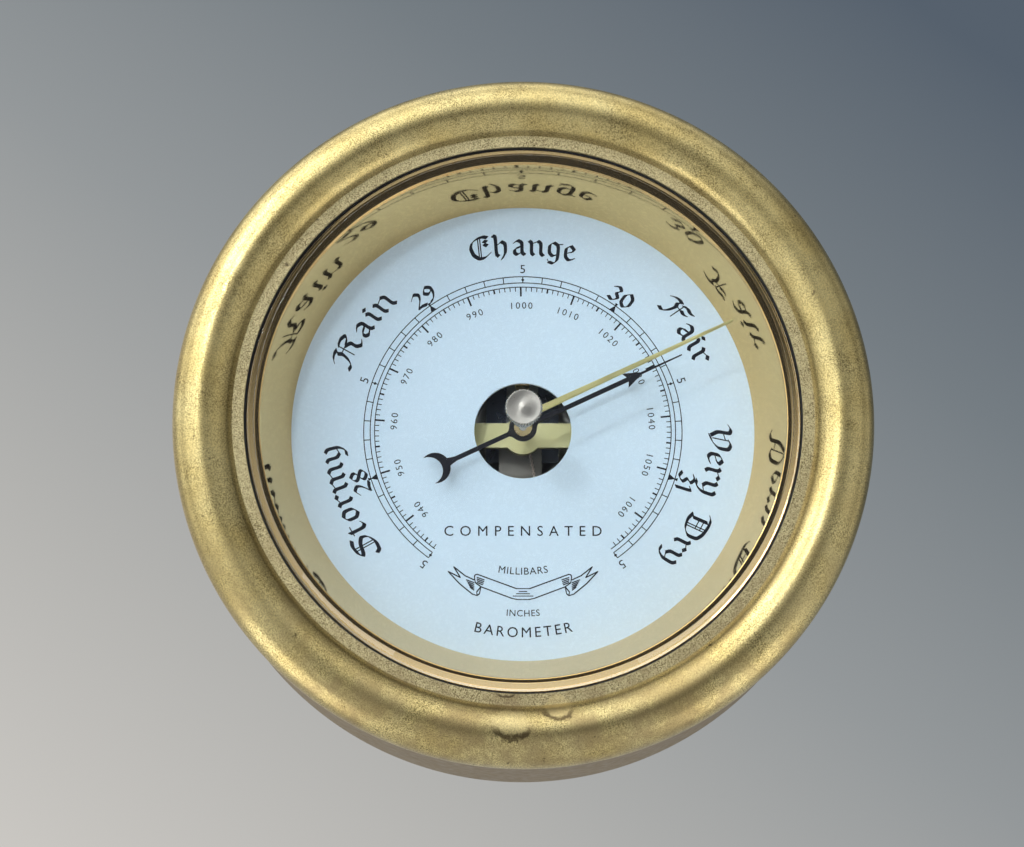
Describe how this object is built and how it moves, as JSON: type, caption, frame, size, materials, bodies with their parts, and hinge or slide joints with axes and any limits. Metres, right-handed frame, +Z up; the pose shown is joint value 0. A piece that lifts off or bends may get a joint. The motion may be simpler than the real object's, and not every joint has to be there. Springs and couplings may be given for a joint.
{
  "type": "aneroid barometer",
  "caption": "Round wall-hung aneroid barometer: brass case with a half-round bezel, bevelled glass, reflector ring, white dial, two hands and a working capsule, lever and chain movement.",
  "frame": {"origin": "centre of the flat back, in the plane that lies against the wall", "axes": "+Z up as hung, the dial faces -Y, +X to the viewer's right; +Y points into the wall"},
  "size_m": [0.1482, 0.0547, 0.1482],
  "materials": {
    "aged_brass": "tarnished satin, speckled",
    "cover_brass": "plain rolled sheet",
    "mirror_brass": "mirror polish",
    "bright_brass": "turned and lacquered",
    "plain_brass": "as machined",
    "clear_glass": "polished, bevelled edge",
    "black_rubber": "matt",
    "white_dial": "smooth satin enamel",
    "nickel": "nickel plate, worn",
    "capsule_metal": "pressed nickel silver",
    "dark_iron": "blacked iron",
    "spring_steel": "blued spring steel",
    "bright_steel": "fine ground",
    "black_paint": "satin black"
  },
  "bodies": {
    "root": {"case_drum": "aged_brass", "back_cover": "cover_brass", "cover_screws": "bright_brass", "bezel_ring": "aged_brass", "glass_gasket": "black_rubber", "glass": "clear_glass", "reflector_ring": "mirror_brass", "dial_seat_ring": "plain_brass", "seat_screws": "bright_brass", "dial": "white_dial", "glass_bush": "nickel", "bush_nut": "nickel", "base_plate": "plain_brass", "base_spacers": "plain_brass", "base_screws": "bright_brass", "capsule_lower": "capsule_metal", "capsule_upper": "capsule_metal", "capsule_stud": "plain_brass", "capsule_nut": "bright_brass", "spring_carrier": "dark_iron", "carrier_screws": "bright_steel", "mainspring": "spring_steel", "mainspring_screws": "bright_steel", "rocker_bracket": "plain_brass", "rocker_pivots": "bright_steel", "chain": "bright_steel", "lower_cock": "dark_iron", "cock_post": "plain_brass", "cock_screw": "bright_steel", "arbor_bridge": "bright_brass", "bridge_posts": "plain_brass", "bridge_screws": "bright_steel", "hairspring": "spring_steel", "hairspring_stud": "bright_brass"},
    "pointer": {"pointer_arbor": "bright_steel", "chain_drum": "bright_brass", "hairspring_collet": "bright_brass", "pointer_collet": "bright_brass", "pointer": "black_paint"},
    "rocker": {"rocker_shaft": "bright_steel", "rocker_long_arm": "bright_steel", "rocker_short_arm": "bright_steel", "rocker_weight": "bright_brass"},
    "lever": {"main_lever": "bright_steel", "lever_screws": "bright_brass"},
    "link": {"link_rod": "bright_steel"},
    "capsule_top": {"capsule_post": "plain_brass", "post_nut": "bright_brass"},
    "set_hand": {"set_knob": "nickel", "set_stem": "nickel", "set_hand": "bright_brass", "set_washer": "nickel", "set_nut": "nickel"},
    "adjuster": {"adjusting_screw": "bright_brass"}
  },
  "joints": [
    {"name": "pointer_turn", "type": "hinge", "parent": "root", "child": "pointer", "pos_m": [0, -0.0295, 0], "axis": [0, 1, 0], "range_deg": [-208.8, 79.2], "stiffness_Nm_per_rad": 0.0003, "deforming": ["hairspring"]},
    {"name": "rocker_turn", "type": "hinge", "parent": "root", "child": "rocker", "pos_m": [0, -0.0115, -0.024], "axis": [1, 0, 0], "range_deg": [-26.98, 10.42], "deforming": ["chain"]},
    {"name": "lever_turn", "type": "hinge", "parent": "root", "child": "lever", "pos_m": [0, -0.011, 0.03], "axis": [1, 0, 0], "range_deg": [-0.87, 0.34], "deforming": ["mainspring"]},
    {"name": "capsule_travel", "type": "slide", "parent": "root", "child": "capsule_top", "axis": [0, 1, 0], "range_m": [-0.000456, 0.000176], "deforming": ["capsule_upper"]},
    {"name": "link_travel", "type": "slide", "parent": "root", "child": "link", "axis": [0, 1, 0], "range_m": [-0.00084, 0.00032]},
    {"name": "set_hand_turn", "type": "hinge", "parent": "root", "child": "set_hand", "pos_m": [0, -0.043, 0], "axis": [0, 1, 0], "continuous": true},
    {"name": "adjuster_turn", "type": "hinge", "parent": "root", "child": "adjuster", "pos_m": [0, -0.003, 0.0345], "axis": [0, 1, 0], "range_deg": [-180, 180]}
  ],
  "couplings": [
    {"joint": "rocker_turn", "follows": "pointer_turn", "ratio": 0.12778},
    {"joint": "lever_turn", "follows": "pointer_turn", "ratio": 0.0041219},
    {"joint": "capsule_travel", "follows": "pointer_turn", "m_per_rad": 0.00012366},
    {"joint": "link_travel", "follows": "pointer_turn", "m_per_rad": 0.00023}
  ]
}
